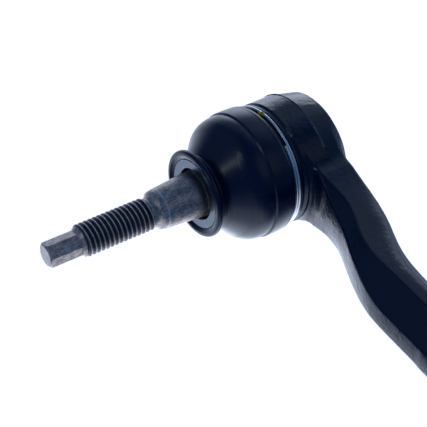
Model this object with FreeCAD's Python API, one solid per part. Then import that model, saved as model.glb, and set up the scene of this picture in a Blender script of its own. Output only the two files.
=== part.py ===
import FreeCAD, Part
import math
import os

# Steering tie rod end: a forged housing with a cranked arm, a ball stud held in
# it by two bearing shells and a disc spring, and a rubber dust boot with its rings.
#
# Frame: origin at the centre of the ball (the point the stud swivels about),
# +Z along the stud towards its tip, +X along the arm towards its threaded end.
# All lengths in millimetres.

V = FreeCAD.Vector

# ---------------------------------------------------------------- dimensions
# ball stud
BALL_R = 13.5            # ball radius
BALL_FLAT_Z = -12.4      # flat on the back of the ball
NECK_R = 7.5             # neck between ball and collar
NECK_FILLET = 1.4        # fillet between ball and neck
COLLAR_R = 9.39          # round collar the boot's insert runs on
COLLAR_Z0, COLLAR_Z1 = 21.6, 29.0
TAPER_Z0, TAPER_R0 = 29.4, 8.70     # taper, large end
TAPER_Z1, TAPER_R1 = 48.2, 7.29     # taper, small end
SHOULDER_Z, SHOULDER_R = 50.0, 6.80
RELIEF_Z0, RELIEF_Z1, RELIEF_R = 51.6, 53.0, 5.35
THREAD_R = 5.95          # M12 x 1.75 external thread, modelled at its crests
THREAD_Z0, THREAD_Z1 = 53.4, 78.6
TIP_CONE_Z, TIP_CONE_R = 80.4, 4.45
HEX_AF = 8.0             # hexagon drive across flats
HEX_Z0, HEX_Z1 = 80.4, 92.3
HEX_CHAMFER = 0.7
HEX_TURN = -7.7          # angle of the first flat's normal from +X, degrees

# bearing
SEAT_R = 13.55           # spherical seat of both shells, 0.05 running clearance
BORE_R = 16.6            # bore of the housing
SHELL_R = 16.57
SHELL_SPLIT = 0.3        # each shell stops this far from the equator
UPPER_SHELL_TOP = 5.4
LOWER_SHELL_HOLE_R, LOWER_SHELL_BOTTOM = 6.3, -13.35

# housing
SEAT_CONE_Z = 1.6        # the bore's seat cone runs from here up to the throat
THROAT_Z, THROAT_R, MOUTH_R = 5.45, 12.95, 14.6
FRONT_Z = 8.5            # front face of the housing
SPIGOT_R = 20.4          # retaining lip in front of the boot's groove
GROOVE_R, GROOVE_Z0, GROOVE_Z1 = 19.7, 1.6, 6.0
HOUSING_R = 22.35        # outside of the front half
PART_Z, PART_R = -8.7, 22.5         # forging parting line
BACK_R, BACK_Z = 20.7, -16.9        # outside at the back, before the corner
LIP_Z, LIP_R = -18.3, 16.2          # lip rolled over the cover plate
COVER_R, COVER_Z0, COVER_Z1 = 17.95, -16.8, -14.8

# arm: stations along X, each an octagon with rounded corners
#        x      a     ztop   zbot    B     zcr
#   a    half width of the top and bottom facet
#   B    half width of the arm
#   zcr  height of the crease between the upper bevel and the side facet
ARM = [
    (6.0, 17.4, -2.2, -15.4, 18.0, -2.9),
    (13.0, 15.2, -1.9, -15.4, 15.8, -2.4),
    (20.0, 12.4, -1.45, -15.5, 13.0, -1.95),
    (25.0, 10.8, -0.75, -15.5, 11.9, -2.1),
    (30.0, 8.9, 0.12, -15.6, 10.6, -2.75),
    (35.0, 7.15, 1.1, -15.7, 9.6, -3.2),
    (40.0, 5.9, 2.4, -15.35, 8.95, -2.65),
    (45.0, 5.05, 4.0, -14.4, 8.65, -0.85),
    (50.0, 4.5, 5.95, -12.95, 8.65, 1.4),
    (55.0, 4.2, 8.1, -11.0, 8.9, 3.3),
    (60.0, 4.05, 10.2, -9.1, 9.4, 4.85),
    (65.0, 3.9, 12.05, -7.75, 10.0, 5.75),
    (70.0, 3.75, 13.5, -7.0, 10.6, 6.2),
    (75.0, 3.6, 14.4, -6.65, 11.0, 6.45),
    (80.0, 3.5, 14.75, -6.5, 11.1, 6.65),
    (90.0, 3.5, 14.85, -6.4, 11.15, 6.85),
    (100.0, 3.6, 14.9, -6.4, 11.2, 6.95),
    (110.0, 3.9, 14.9, -6.4, 11.0, 7.6),
    (118.0, 4.3, 14.7, -6.2, 10.5, 8.5),
]
ARM_CORNER = 1.5         # corner radius of the arm's facets
ARM_GROW = 0.3           # draft and scale allowance added all round the stations
ARM_AXIS_Z = 4.25        # height of the straight part's axis above the ball centre
BOSS_R, BOSS_X0, BOSS_X1 = 11.5, 116.0, 150.0
WRENCH_AF, WRENCH_X0, WRENCH_X1 = 20.0, 133.0, 147.0
BORE_MINOR_R = 6.188     # M14 x 1.5 internal thread, modelled at its minor diameter
BORE_X0, BORE_X1 = 104.0, 148.8
COUNTERSINK = 1.2

# boot and its rings
BOOT_GAP = 0.1           # clearance between the boot and what it grips
BOOT_WALL = 1.8
RIDGE_Z, RIDGE_R = 14.55, 23.45     # step round the boot's belly
LIP_FRONT_Z, LIP_OUT_R = 34.0, 16.0
WIRE_R, WIRE_RING_R = 0.5, 22.1     # base ring, about one and a half turns
WIRE_Z0, WIRE_TURNS, WIRE_PITCH = 3.61, 1.45, 1.03
WIRE_END = 57.0          # angle of the front turn's end from +X, degrees
NECK_WIRE_R, NECK_RING_R, NECK_RING_Z = 0.34, 13.08, 31.3
INSERT_R_IN, INSERT_FLANGE_R, INSERT_SLEEVE_R = 9.44, 12.8, 10.3
INSERT_Z0, INSERT_FLANGE_Z, INSERT_Z1 = 25.5, 32.0, 33.3

OUT = "parts"
os.makedirs(OUT, exist_ok=True)


# ------------------------------------------------------------------ helpers
def revolve(items):
    """Turn a closed section about Z. items are (r, z) corners; an item
    ("arc", mid, end) makes an arc from the last corner through mid to end."""
    def p(c):
        return V(c[0], 0, c[1])
    edges, last, first = [], items[0], items[0]
    for it in items[1:]:
        if it[0] == "arc":
            edges.append(Part.Arc(p(last), p(it[1]), p(it[2])).toShape())
            last = it[2]
        else:
            if (abs(it[0] - last[0]) + abs(it[1] - last[1])) > 1e-9:
                edges.append(Part.makeLine(p(last), p(it)))
            last = it
    if abs(last[0] - first[0]) + abs(last[1] - first[1]) > 1e-9:
        edges.append(Part.makeLine(p(last), p(first)))
    face = Part.Face(Part.Wire(edges))
    return face.revolve(V(0, 0, 0), V(0, 0, 1), 360)


def on_sphere(radius, z):
    return (math.sqrt(radius * radius - z * z), z)


def sphere_arc(radius, z_from, z_to):
    """Arc item on a sphere about the origin, from z_from to z_to."""
    a0 = math.asin(z_from / radius)
    a1 = math.asin(z_to / radius)
    am = (a0 + a1) / 2
    return ("arc", (radius * math.cos(am), radius * math.sin(am)), on_sphere(radius, z_to))


def write(name, shape):
    if len(shape.Solids) == 1:
        shape = shape.Solids[0]
    bb = shape.BoundBox
    print("%-20s valid %s solids %d vol %9.1f  x %.2f..%.2f y %.2f..%.2f z %.2f..%.2f" % (
        name, shape.isValid(), len(shape.Solids), shape.Volume,
        bb.XMin, bb.XMax, bb.YMin, bb.YMax, bb.ZMin, bb.ZMax))
    shape.exportStep(os.path.join(OUT, name + ".step"))


# ------------------------------------------------------------------ ball stud
def ball_stud():
    # fillet between sphere and neck: its centre is BALL_R + f from the ball
    # centre and NECK_R + f from the axis
    f = NECK_FILLET
    cr = NECK_R + f
    cz = math.sqrt((BALL_R + f) ** 2 - cr ** 2)
    touch = (cr * BALL_R / (BALL_R + f), cz * BALL_R / (BALL_R + f))
    d = math.atan2(touch[1] - cz, touch[0] - cr)
    e = math.pi if d > 0 else -math.pi
    m = (d + e) / 2
    mid = (cr + f * math.cos(m), cz + f * math.sin(m))
    body = revolve([
        (0, BALL_FLAT_Z),
        on_sphere(BALL_R, BALL_FLAT_Z),
        sphere_arc(BALL_R, BALL_FLAT_Z, touch[1]),
        ("arc", mid, (NECK_R, cz)),
        (NECK_R, COLLAR_Z0 - 4.0),
        ("arc", (NECK_R + 0.45, COLLAR_Z0 - 1.9), (COLLAR_R - 0.35, COLLAR_Z0 - 0.35)),
        (COLLAR_R, COLLAR_Z0),
        (COLLAR_R, COLLAR_Z1),
        (TAPER_R0 + 0.15, TAPER_Z0 - 0.1),
        (TAPER_R0, TAPER_Z0),
        (TAPER_R1, TAPER_Z1),
        ("arc", (7.10, 49.25), (SHOULDER_R, SHOULDER_Z)),
        ("arc", (6.05, 50.55), (RELIEF_R, RELIEF_Z0)),
        (RELIEF_R, RELIEF_Z1),
        (THREAD_R, THREAD_Z0),
        (THREAD_R, THREAD_Z1),
        (5.35, THREAD_Z1 + 0.75),
        (TIP_CONE_R, TIP_CONE_Z),
        (0, TIP_CONE_Z),
    ])
    corner = HEX_AF / math.sqrt(3)
    pts = [V(corner * math.cos(math.radians(HEX_TURN + 30 + 60 * i)),
             corner * math.sin(math.radians(HEX_TURN + 30 + 60 * i)), HEX_Z0 - 2.0) for i in range(7)]
    hexagon = Part.Face(Part.makePolygon(pts)).extrude(V(0, 0, HEX_Z1 - HEX_Z0 + 2.0))
    # the tip's corners are turned off at a shallow cone
    trim = revolve([
        (0, HEX_Z0 - 3), (5.2, HEX_Z0 - 3), (5.2, HEX_Z1 - HEX_CHAMFER - 0.45),
        (HEX_AF / 2 - HEX_CHAMFER * 0.75, HEX_Z1), (0, HEX_Z1)])
    return body.fuse(hexagon.common(trim)).removeSplitter()


# ------------------------------------------------------------------ bearing
def upper_shell():
    top = UPPER_SHELL_TOP
    return revolve([
        on_sphere(SEAT_R, SHELL_SPLIT),
        (SHELL_R, SHELL_SPLIT),
        (SHELL_R, SEAT_CONE_Z - 0.02),
        (13.9, top),
        on_sphere(SEAT_R, top),
        sphere_arc(SEAT_R, top, SHELL_SPLIT),
    ])


def lower_shell():
    z_in = -math.sqrt(SEAT_R ** 2 - LOWER_SHELL_HOLE_R ** 2)
    return revolve([
        on_sphere(SEAT_R, -SHELL_SPLIT),
        sphere_arc(SEAT_R, -SHELL_SPLIT, z_in),
        (LOWER_SHELL_HOLE_R, LOWER_SHELL_BOTTOM),
        (14.6, LOWER_SHELL_BOTTOM),
        (SHELL_R, -11.4),
        (SHELL_R, -SHELL_SPLIT),
    ])


def disc_spring():
    # a coned disc, its inner edge on the lower shell and its outer edge on the cover
    return revolve([(7.2, -13.37), (14.2, -13.95), (14.2, -14.78), (7.2, -14.2)])


def cover_plate():
    # a pressed plate with a raised rim and a shallow dish in the middle
    return revolve([
        (0, -16.2), (0, COVER_Z1 - 0.02), (COVER_R, COVER_Z1 - 0.02), (COVER_R, COVER_Z0 + 0.02),
        (15.4, COVER_Z0 + 0.02), (15.0, -17.3), (12.6, -17.3), (11.4, -16.2)])


# ------------------------------------------------------------------ housing
def rounded_octagon(x, a, ztop, zbot, half, zcr):
    """Closed wire in the plane x: eight facets joined by eight arcs."""
    zc = (ztop + zbot) / 2
    zlo = 2 * zc - zcr
    g = ARM_GROW if x > 22 else 0.0
    a, ztop, zbot, half = a + 0.4 * g, ztop + g, zbot - g, half + g
    corners = [(a, ztop), (half, zcr), (half, zlo), (a, zbot),
               (-a, zbot), (-half, zlo), (-half, zcr), (-a, ztop)]
    n = len(corners)
    cut = []
    for i in range(n):
        p0, p1, p2 = corners[i - 1], corners[i], corners[(i + 1) % n]
        d0 = (p0[0] - p1[0], p0[1] - p1[1])
        d2 = (p2[0] - p1[0], p2[1] - p1[1])
        l0, l2 = math.hypot(*d0), math.hypot(*d2)
        u0, u2 = (d0[0] / l0, d0[1] / l0), (d2[0] / l2, d2[1] / l2)
        cosang = max(-0.999999, min(0.999999, u0[0] * u2[0] + u0[1] * u2[1]))
        half_ang = math.acos(cosang) / 2
        t = min(ARM_CORNER / math.tan(half_ang) + 0.25, 0.42 * l0, 0.42 * l2)
        rad = t * math.tan(half_ang)
        s = (p1[0] + u0[0] * t, p1[1] + u0[1] * t)
        e = (p1[0] + u2[0] * t, p1[1] + u2[1] * t)
        b = (u0[0] + u2[0], u0[1] + u2[1])
        lb = math.hypot(*b)
        dist = rad / math.sin(half_ang) - rad
        m = (p1[0] + b[0] / lb * dist, p1[1] + b[1] / lb * dist)
        cut.append((s, m, e))
    edges = []
    for i in range(n):
        s, m, e = cut[i]
        edges.append(Part.Arc(V(x, *s), V(x, *m), V(x, *e)).toShape())
        s2 = cut[(i + 1) % n][0]
        edges.append(Part.makeLine(V(x, *e), V(x, *s2)))
    return Part.Wire(edges)


def housing():
    outer = revolve([
        (0, LIP_Z), (19.4, LIP_Z),
        ("arc", (20.36, -17.86), (BACK_R, BACK_Z)),
        (PART_R, PART_Z - 0.35), (PART_R + 0.3, PART_Z - 0.2), (PART_R + 0.3, PART_Z + 0.2),
        (PART_R - 0.05, PART_Z + 0.4),
        (HOUSING_R, -2.0), (HOUSING_R, 0.6), (HOUSING_R - 0.75, GROOVE_Z0),
        (GROOVE_R, GROOVE_Z0), (GROOVE_R, GROOVE_Z1), (SPIGOT_R, GROOVE_Z1 + 0.4),
        (SPIGOT_R, 7.6), (SPIGOT_R - 0.9, FRONT_Z), (0, FRONT_Z)])
    arm = Part.makeLoft([rounded_octagon(*s) for s in ARM], True, True)
    zc = ARM_AXIS_Z
    boss = Part.makeCylinder(BOSS_R, BOSS_X1 - BOSS_X0, V(BOSS_X0, 0, zc), V(1, 0, 0))
    boss = boss.fuse(Part.makeCone(9.8, BOSS_R, 5.0, V(BOSS_X0 - 5.0, 0, zc), V(1, 0, 0)))
    trim = Part.makeCone(BOSS_R + 2.0, BOSS_R - 1.2, 3.2, V(BOSS_X1 - 3.2, 0, zc), V(1, 0, 0))
    keep = Part.makeCylinder(BOSS_R + 2.0, 60.0, V(BOSS_X1 - 63.2, 0, zc), V(1, 0, 0)).fuse(trim)
    boss = boss.common(keep)
    for s in (1, -1):
        y0 = WRENCH_AF / 2 if s > 0 else -WRENCH_AF / 2 - 6
        boss = boss.cut(Part.makeBox(WRENCH_X1 - WRENCH_X0, 6, 40, V(WRENCH_X0, y0, zc - 20)))
    body = outer.fuse([arm, boss])
    # ball cavity, seat cone, flared mouth, cover recess
    cavity = revolve([
        (0, FRONT_Z + 1), (MOUTH_R + 0.54, FRONT_Z + 1), (THROAT_R, THROAT_Z), (13.95, THROAT_Z),
        (BORE_R, SEAT_CONE_Z), (BORE_R, COVER_Z1), (COVER_R + 0.05, COVER_Z1),
        (COVER_R + 0.05, COVER_Z0), (LIP_R + 0.5, COVER_Z0), (LIP_R, LIP_Z - 1), (0, LIP_Z - 1)])
    bore = Part.makeCylinder(BORE_MINOR_R, BORE_X1 - BORE_X0 + 0.0, V(BORE_X0, 0, zc), V(1, 0, 0))
    drill = Part.makeCone(0.0, BORE_MINOR_R, 3.4, V(BORE_X0 - 3.4, 0, zc), V(1, 0, 0))
    sink = Part.makeCone(BORE_MINOR_R, BORE_MINOR_R + COUNTERSINK + 0.2, COUNTERSINK + 0.2,
                         V(BORE_X1, 0, zc), V(1, 0, 0))
    body = body.cut(cavity)
    for c in (bore, drill, sink):
        body = body.cut(c)
    return body.removeSplitter()


# ------------------------------------------------------------------ boot
def dust_boot():
    g = BOOT_GAP
    return revolve([
        # base bead in the housing's groove, with the ring's seat outside it
        (GROOVE_R + g, GROOVE_Z0 + 0.12), (22.0, GROOVE_Z0 + 0.12), (22.0, 2.95),
        (21.5, 3.03), (21.5, 5.7), (22.35, 5.85),
        # belly up to the step
        ("arc", (23.05, 6.6), (23.35, 8.2)), ("arc", (23.5, 11.5), (RIDGE_R, RIDGE_Z)),
        (22.85, 14.85),
        # shoulder and cone
        ("arc", (22.8, 17.2), (22.2, 19.6)), ("arc", (21.2, 21.3), (19.4, 23.15)),
        (15.0, 27.3), ("arc", (13.6, 28.4), (12.75, 29.1)),
        # second rib, ring groove, front lip
        (13.3, 29.45), (13.7, 29.9), (13.7, 30.45), (13.3, 30.88), (12.6, 30.9), (12.6, 31.72),
        (15.3, 31.74), ("arc", (15.85, 32.1), (LIP_OUT_R, 33.0)),
        ("arc", (15.8, 33.65), (15.2, 33.95)), (14.4, LIP_FRONT_Z), (13.5, 33.6),
        (INSERT_FLANGE_R + g, 33.2),
        # seat of the steel insert
        (INSERT_FLANGE_R + g, INSERT_FLANGE_Z - g), (INSERT_SLEEVE_R + g, INSERT_FLANGE_Z - g),
        (INSERT_SLEEVE_R + g, 25.6), (12.6, 25.4),
        # inside of the wall
        (13.9, 25.8), (18.3, 21.7), ("arc", (20.1, 19.8), (20.9, 17.2)),
        ("arc", (21.35, 14.5), (21.55, 11.5)), (21.5, 8.6), ("arc", (21.3, 7.0), (20.7, 6.2)),
        (GROOVE_R + g, GROOVE_Z1 - g)])


def base_ring():
    # about one and a half turns of round wire
    path = Part.makeHelix(WIRE_PITCH, WIRE_TURNS * WIRE_PITCH, WIRE_RING_R)
    start = path.Edges[0].valueAt(path.Edges[0].FirstParameter)
    tangent = path.Edges[0].tangentAt(path.Edges[0].FirstParameter)
    profile = Part.Wire(Part.makeCircle(WIRE_R, start, tangent))
    ring = Part.Wire(path.Edges).makePipeShell([profile], True, True)
    ring.translate(V(0, 0, WIRE_Z0))
    ring.rotate(V(0, 0, 0), V(0, 0, 1), WIRE_END - 360.0 * WIRE_TURNS)
    return ring


def neck_ring():
    return Part.makeTorus(NECK_RING_R, NECK_WIRE_R, V(0, 0, NECK_RING_Z))


def neck_insert():
    return revolve([
        (INSERT_R_IN, INSERT_Z0), (INSERT_SLEEVE_R, INSERT_Z0),
        (INSERT_SLEEVE_R, INSERT_FLANGE_Z), (INSERT_FLANGE_R, INSERT_FLANGE_Z),
        (INSERT_FLANGE_R, INSERT_Z1 - 0.15), (INSERT_FLANGE_R - 0.15, INSERT_Z1),
        (INSERT_R_IN + 0.3, INSERT_Z1), (INSERT_R_IN, INSERT_Z1 - 0.3)])


NODES = [
    ("housing", housing),
    ("ball_stud", ball_stud),
    ("upper_bearing_shell", upper_shell),
    ("lower_bearing_shell", lower_shell),
    ("preload_disc_spring", disc_spring),
    ("cover_plate", cover_plate),
    ("dust_boot", dust_boot),
    ("boot_base_ring", base_ring),
    ("boot_neck_ring", neck_ring),
    ("boot_neck_insert", neck_insert),
]

for name, make in NODES:
    write(name, make())
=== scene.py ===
"""Looks of the tie rod end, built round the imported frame. Shapes are given in millimetres and made in metres."""
import math

import bmesh
import bpy
import numpy as np
from mathutils import Matrix, Vector


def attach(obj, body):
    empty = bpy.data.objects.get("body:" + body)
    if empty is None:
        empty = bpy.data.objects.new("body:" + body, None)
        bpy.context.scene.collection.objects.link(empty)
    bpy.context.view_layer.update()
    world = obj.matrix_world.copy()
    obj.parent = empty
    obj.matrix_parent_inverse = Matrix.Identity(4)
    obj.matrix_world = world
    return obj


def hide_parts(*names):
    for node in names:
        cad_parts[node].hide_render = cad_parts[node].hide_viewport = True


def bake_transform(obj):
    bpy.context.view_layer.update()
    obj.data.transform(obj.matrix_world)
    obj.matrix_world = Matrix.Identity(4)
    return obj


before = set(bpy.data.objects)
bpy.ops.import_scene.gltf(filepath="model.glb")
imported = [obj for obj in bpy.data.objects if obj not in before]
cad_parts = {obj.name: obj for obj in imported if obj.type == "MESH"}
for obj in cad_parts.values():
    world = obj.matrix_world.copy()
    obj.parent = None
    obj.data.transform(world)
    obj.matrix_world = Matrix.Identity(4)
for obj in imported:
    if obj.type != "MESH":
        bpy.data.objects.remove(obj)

MM = 0.001
scene = bpy.context.scene
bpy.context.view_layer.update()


# ---------------------------------------------------------------- helpers
def make_object(name, verts_mm, faces, smooth=True):
    me = bpy.data.meshes.new(name)
    me.from_pydata((np.asarray(verts_mm, float) * MM).tolist(), [], [tuple(int(i) for i in f) for f in faces])
    me.validate()
    me.update()
    if smooth:
        me.polygons.foreach_set("use_smooth", np.ones(len(me.polygons), bool))
    ob = bpy.data.objects.new(name, me)
    scene.collection.objects.link(ob)
    return ob


def outward(ob):
    bm = bmesh.new()
    bm.from_mesh(ob.data)
    bmesh.ops.recalc_face_normals(bm, faces=bm.faces)
    if bm.calc_volume(signed=True) < 0:
        bmesh.ops.reverse_faces(bm, faces=bm.faces)
    bm.to_mesh(ob.data)
    bm.free()
    return ob


def sharpen(ob, degrees):
    """Edges steeper than this stay crisp; the rest shade smoothly."""
    bm = bmesh.new()
    bm.from_mesh(ob.data)
    limit = math.radians(degrees)
    for f in bm.faces:
        f.smooth = True
    for e in bm.edges:
        e.smooth = not (len(e.link_faces) == 2 and e.calc_face_angle(0.0) > limit)
    bm.to_mesh(ob.data)
    bm.free()
    return ob


def arc3(p, m, e, n=10):
    """Points of the arc from p through m to e, without p."""
    (ax, ay), (bx, by), (cx, cy) = p, m, e
    d = 2 * (ax * (by - cy) + bx * (cy - ay) + cx * (ay - by))
    if abs(d) < 1e-9:
        return [m, e]
    ux = ((ax**2 + ay**2) * (by - cy) + (bx**2 + by**2) * (cy - ay) + (cx**2 + cy**2) * (ay - by)) / d
    uy = ((ax**2 + ay**2) * (cx - bx) + (bx**2 + by**2) * (ax - cx) + (cx**2 + cy**2) * (bx - ax)) / d
    r = math.hypot(ax - ux, ay - uy)
    a0 = math.atan2(ay - uy, ax - ux)
    a1 = math.atan2(cy - uy, cx - ux)
    am = math.atan2(by - uy, bx - ux)
    ccw = ((am - a0) % (2 * math.pi)) < ((a1 - a0) % (2 * math.pi))
    sweep = (a1 - a0) % (2 * math.pi) if ccw else -((a0 - a1) % (2 * math.pi))
    return [(ux + r * math.cos(a0 + sweep * i / n), uy + r * math.sin(a0 + sweep * i / n)) for i in range(1, n + 1)]


def trace(items):
    """A profile from points and ("a", mid, end) arcs. A third number on a point is the fillet wanted there."""
    out, fil = [], []
    for it in items:
        if it[0] == "a":
            pts = arc3(out[-1], it[1], it[2])
            out += pts
            fil += [0.0] * len(pts)
            if len(it) > 3:
                fil[-1] = it[3]
        else:
            out.append((float(it[0]), float(it[1])))
            fil.append(float(it[2]) if len(it) > 2 else None)
    return out, fil


def soften(pts, fil, default, closed, steps=5, sharp=14.0):
    """Rounds a profile's corners."""
    n = len(pts)
    P = [np.array(p, float) for p in pts]
    out = []
    for i in range(n):
        if not closed and i in (0, n - 1):
            out.append(tuple(P[i]))
            continue
        a, b, c = P[i - 1], P[i], P[(i + 1) % n]
        u, v = a - b, c - b
        lu, lv = np.linalg.norm(u), np.linalg.norm(v)
        u, v = u / lu, v / lv
        turn = math.degrees(math.acos(max(-1, min(1, -float(u @ v)))))
        r = default if fil[i] is None else (fil[i] or default)
        if turn < sharp or r <= 0 or b[0] < 1e-6:
            out.append(tuple(b))
            continue
        half = math.radians(turn) / 2
        t = min(r * math.tan(half), 0.42 * lu, 0.42 * lv)
        s, e = b + u * t, b + v * t
        rr = t / math.tan(half)
        mid = b + (u + v) / np.linalg.norm(u + v) * (rr / math.cos(half) - rr)
        out.append(tuple(s))
        out += arc3(tuple(s), tuple(mid), tuple(e), steps)
    return out


def densify(pts, closed, near, step):
    """More points: one close to each corner, and none further apart than step."""
    out = []
    n = len(pts)
    last = n if closed else n - 1
    for i in range(last):
        a, b = np.array(pts[i]), np.array(pts[(i + 1) % n])
        L = np.linalg.norm(b - a)
        out.append(tuple(a))
        if L < 1e-6:
            continue
        ts = []
        if L > 3 * near:
            ts = [near / L]
            k = max(1, int(math.ceil((L - 2 * near) / step)))
            ts += [(near + (L - 2 * near) * j / k) / L for j in range(1, k)]
            ts.append(1 - near / L)
        out += [tuple(a + (b - a) * t) for t in ts]
    if not closed:
        out.append(tuple(pts[-1]))
    return out


def revolve(name, prof, n=160, closed=True, warp=None):
    """Turns a profile of (r, z) about Z. A closed profile is a ring; an open one starts and ends on the axis."""
    ang = np.arange(n) * 2 * math.pi / n
    V, F, rings = [], [], []
    for r, z in prof:
        if r < 1e-5:
            rings.append([len(V)])
            V.append((0.0, 0.0, z))
        else:
            s = len(V)
            rr = np.full(n, r) if warp is None else r + warp(r, z, ang)
            V += list(zip(rr * np.cos(ang), rr * np.sin(ang), np.full(n, z)))
            rings.append(list(range(s, s + n)))
    m = len(rings)
    for i in range(m if closed else m - 1):
        A, B = rings[i], rings[(i + 1) % m]
        if len(A) == 1 and len(B) == 1:
            continue
        for j in range(n):
            k = (j + 1) % n
            if len(A) == 1:
                F.append((A[0], B[j], B[k]))
            elif len(B) == 1:
                F.append((A[j], A[k], B[0]))
            else:
                F.append((A[j], A[k], B[k], B[j]))
    return outward(make_object(name, V, F))


# ---------------------------------------------------------------- materials
class Mat:
    def __init__(self, name):
        self.m = bpy.data.materials.new(name)
        self.m.use_nodes = True
        self.t = self.m.node_tree
        self.b = next(x for x in self.t.nodes if x.type == "BSDF_PRINCIPLED")
        self.co = self.node("ShaderNodeTexCoord").outputs["Object"]

    def node(self, kind, **kw):
        x = self.t.nodes.new(kind)
        for k, v in kw.items():
            setattr(x, k, v)
        return x

    def link(self, a, b):
        self.t.links.new(a, b)

    def scaled(self, sx, sy, sz, rot=(0, 0, 0)):
        mp = self.node("ShaderNodeMapping")
        mp.inputs["Scale"].default_value = (sx, sy, sz)
        mp.inputs["Rotation"].default_value = rot
        self.link(self.co, mp.inputs["Vector"])
        return mp.outputs["Vector"]

    def noise(self, scale, detail=3.0, rough=0.55, vec=None, distortion=0.0):
        x = self.node("ShaderNodeTexNoise")
        x.inputs["Scale"].default_value = scale
        x.inputs["Detail"].default_value = detail
        x.inputs["Roughness"].default_value = rough
        x.inputs["Distortion"].default_value = distortion
        self.link(vec if vec is not None else self.co, x.inputs["Vector"])
        return x.outputs["Fac"]

    def voronoi(self, scale, feature="F1", vec=None):
        x = self.node("ShaderNodeTexVoronoi", feature=feature)
        x.inputs["Scale"].default_value = scale
        self.link(vec if vec is not None else self.co, x.inputs["Vector"])
        return x.outputs["Distance"]

    def ramp(self, fac, stops):
        x = self.node("ShaderNodeValToRGB")
        el = x.color_ramp.elements
        while len(el) < len(stops):
            el.new(0.5)
        for e, (p, c) in zip(el, stops):
            e.position = p
            e.color = (*c, 1) if len(c) == 3 else c
        self.link(fac, x.inputs["Fac"])
        return x.outputs["Color"]

    def span(self, fac, a, b, lo=0.3, hi=0.7):
        x = self.node("ShaderNodeMapRange")
        x.inputs["From Min"].default_value = lo
        x.inputs["From Max"].default_value = hi
        x.inputs["To Min"].default_value = a
        x.inputs["To Max"].default_value = b
        self.link(fac, x.inputs["Value"])
        return x.outputs["Result"]

    def math(self, op, a, b):
        x = self.node("ShaderNodeMath", operation=op)
        for s, v in zip(x.inputs, (a, b)):
            if isinstance(v, (int, float)):
                s.default_value = v
            else:
                self.link(v, s)
        return x.outputs[0]

    def mix(self, fac, a, b):
        x = self.node("ShaderNodeMix", data_type="RGBA")
        ins = [s for s in x.inputs if s.enabled or True]
        f = x.inputs[0]
        A = next(s for s in x.inputs if s.name == "A" and s.type == "RGBA")
        B = next(s for s in x.inputs if s.name == "B" and s.type == "RGBA")
        for s, v in ((f, fac), (A, a), (B, b)):
            if isinstance(v, (int, float)):
                s.default_value = v
            elif isinstance(v, tuple):
                s.default_value = (*v, 1)
            else:
                self.link(v, s)
        return next(s for s in x.outputs if s.type == "RGBA")

    def attr(self, name):
        x = self.node("ShaderNodeAttribute", attribute_name=name)
        return x.outputs["Fac"]

    def edges(self, lo=0.52, hi=0.62):
        g = self.node("ShaderNodeNewGeometry")
        return self.span(g.outputs["Pointiness"], 0.0, 1.0, lo, hi)

    def bump(self, parts):
        """parts: (height socket, strength, distance in metres), laid one over another."""
        last = None
        for h, s, d in parts:
            x = self.node("ShaderNodeBump")
            x.inputs["Strength"].default_value = s
            x.inputs["Distance"].default_value = d
            self.link(h, x.inputs["Height"])
            if last is not None:
                self.link(last, x.inputs["Normal"])
            last = x.outputs["Normal"]
        self.link(last, self.b.inputs["Normal"])

    def set(self, **kw):
        for k, v in kw.items():
            s = self.b.inputs[k.replace("_", " ")]
            if isinstance(v, tuple):
                s.default_value = (*v, 1)
            elif isinstance(v, (int, float)):
                s.default_value = v
            else:
                self.link(v, s)
        return self


def coated_forging():
    m = Mat("coated_forging_skin")
    big = m.noise(70, 4, 0.6)
    peel = m.noise(620, 2.0, 0.5)
    fine = m.noise(2400, 3.0, 0.6)
    scale_pits = m.voronoi(900)
    base = m.ramp(big, [(0.30, (0.0004, 0.0066, 0.0300)), (0.55, (0.0007, 0.0080, 0.0350)), (0.75, (0.0020, 0.0105, 0.0400))])
    worn = m.math("MULTIPLY", m.edges(0.55, 0.68), m.span(m.noise(450, 3, 0.7), 0.0, 0.55, 0.45, 0.72))
    dust = m.span(m.noise(3600, 1.0, 0.4), 0.0, 0.8, 0.735, 0.80)
    col = m.mix(worn, base, (0.022, 0.026, 0.038))
    # lighter coat where the wear attribute is set: the rubbed flash edge plus a painted highlight along it
    col = m.mix(m.attr("wear_and_painted_highlight"), col, (0.16, 0.17, 0.20))
    col = m.mix(dust, col, (0.070, 0.078, 0.095))
    rough = m.math("ADD", m.span(big, 0.13, 0.20), m.span(fine, -0.02, 0.05))
    pit = m.span(scale_pits, 0.0, 1.0, 0.05, 0.35)
    m.set(Base_Color=col, Roughness=rough, Specular_IOR_Level=0.5, IOR=1.54)
    m.bump([(peel, 0.45, 0.00020), (pit, 0.20, 0.00008), (fine, 0.28, 0.00006)])
    return m.m


def boot_rubber():
    m = Mat("boot_rubber_moulded")
    big = m.noise(60, 3, 0.5)
    mid = m.noise(500, 3, 0.6)
    fine = m.noise(4200, 2, 0.6)
    base = m.ramp(big, [(0.3, (0.0006, 0.0085, 0.0400)), (0.7, (0.0014, 0.0105, 0.0460))])
    bloom = m.span(m.noise(190, 4, 0.65), 0.0, 0.35, 0.52, 0.80)
    col = m.mix(bloom, base, (0.0045, 0.0100, 0.0290))
    dust = m.span(m.noise(3000, 1.0, 0.4), 0.0, 0.7, 0.75, 0.81)
    col = m.mix(dust, col, (0.045, 0.050, 0.062))
    rough = m.math("ADD", m.span(mid, 0.21, 0.27), m.span(fine, -0.02, 0.03))
    m.set(Base_Color=col, Roughness=rough, Specular_IOR_Level=0.5, IOR=1.5)
    m.bump([(mid, 0.10, 0.00010), (fine, 0.16, 0.00004)])
    return m.m


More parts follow.
